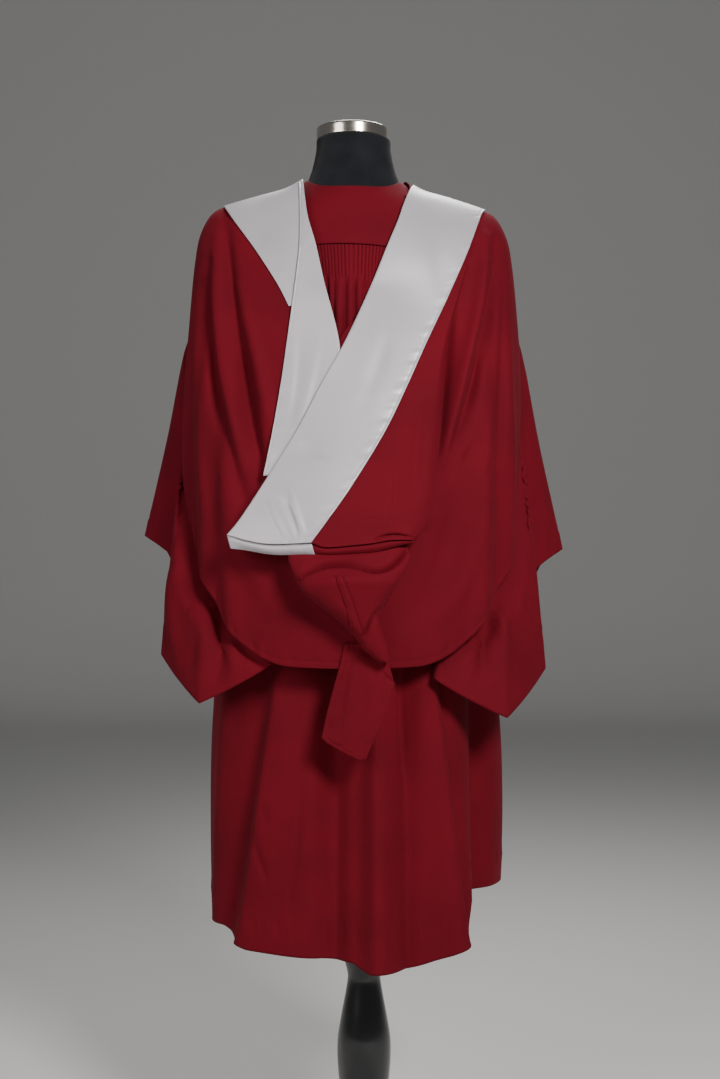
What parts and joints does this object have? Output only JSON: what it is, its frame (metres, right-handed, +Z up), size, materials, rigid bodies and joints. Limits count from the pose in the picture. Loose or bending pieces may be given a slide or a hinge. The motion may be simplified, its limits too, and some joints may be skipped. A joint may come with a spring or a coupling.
{
  "type": "graduation gown with hood on a dress form stand",
  "caption": "Red graduation gown with bell sleeves and a pleated back, worn under a grey satin edged hood by a limbless dress form on a turned stand.",
  "frame": {"origin": "middle of the stand base's underside, at floor level", "axes": "+Z up along the stand's post, -Y towards the wearer's back, which the picture shows, +X to the wearer's right"},
  "size_m": [0.6888, 0.5153, 1.673],
  "materials": {
    "red_cloth": "matt woven",
    "grey_satin": "satin sheen",
    "jersey": "matt knit",
    "cap_steel": "polished",
    "pole_steel": "brushed",
    "black_gloss": "gloss paint"
  },
  "bodies": {
    "root": {"form_torso": "jersey", "form_neck_cap": "cap_steel", "stand_pole": "pole_steel", "stand_post": "black_gloss", "stand_base": "black_gloss", "gown_yoke": "red_cloth", "gown_back": "red_cloth", "gown_front_right": "red_cloth", "gown_front_left": "red_cloth", "gown_sleeve_right": "red_cloth", "gown_sleeve_left": "red_cloth", "hood_cape": "red_cloth", "hood_cowl": "red_cloth", "hood_cowl_turnup": "red_cloth", "hood_pouch": "red_cloth", "hood_tail": "red_cloth", "hood_band_right": "grey_satin", "hood_band_turnup": "grey_satin", "hood_shoulder_left": "grey_satin", "hood_band_left": "grey_satin", "hood_front_band_right": "grey_satin", "hood_front_band_left": "grey_satin"}
  },
  "joints": []
}
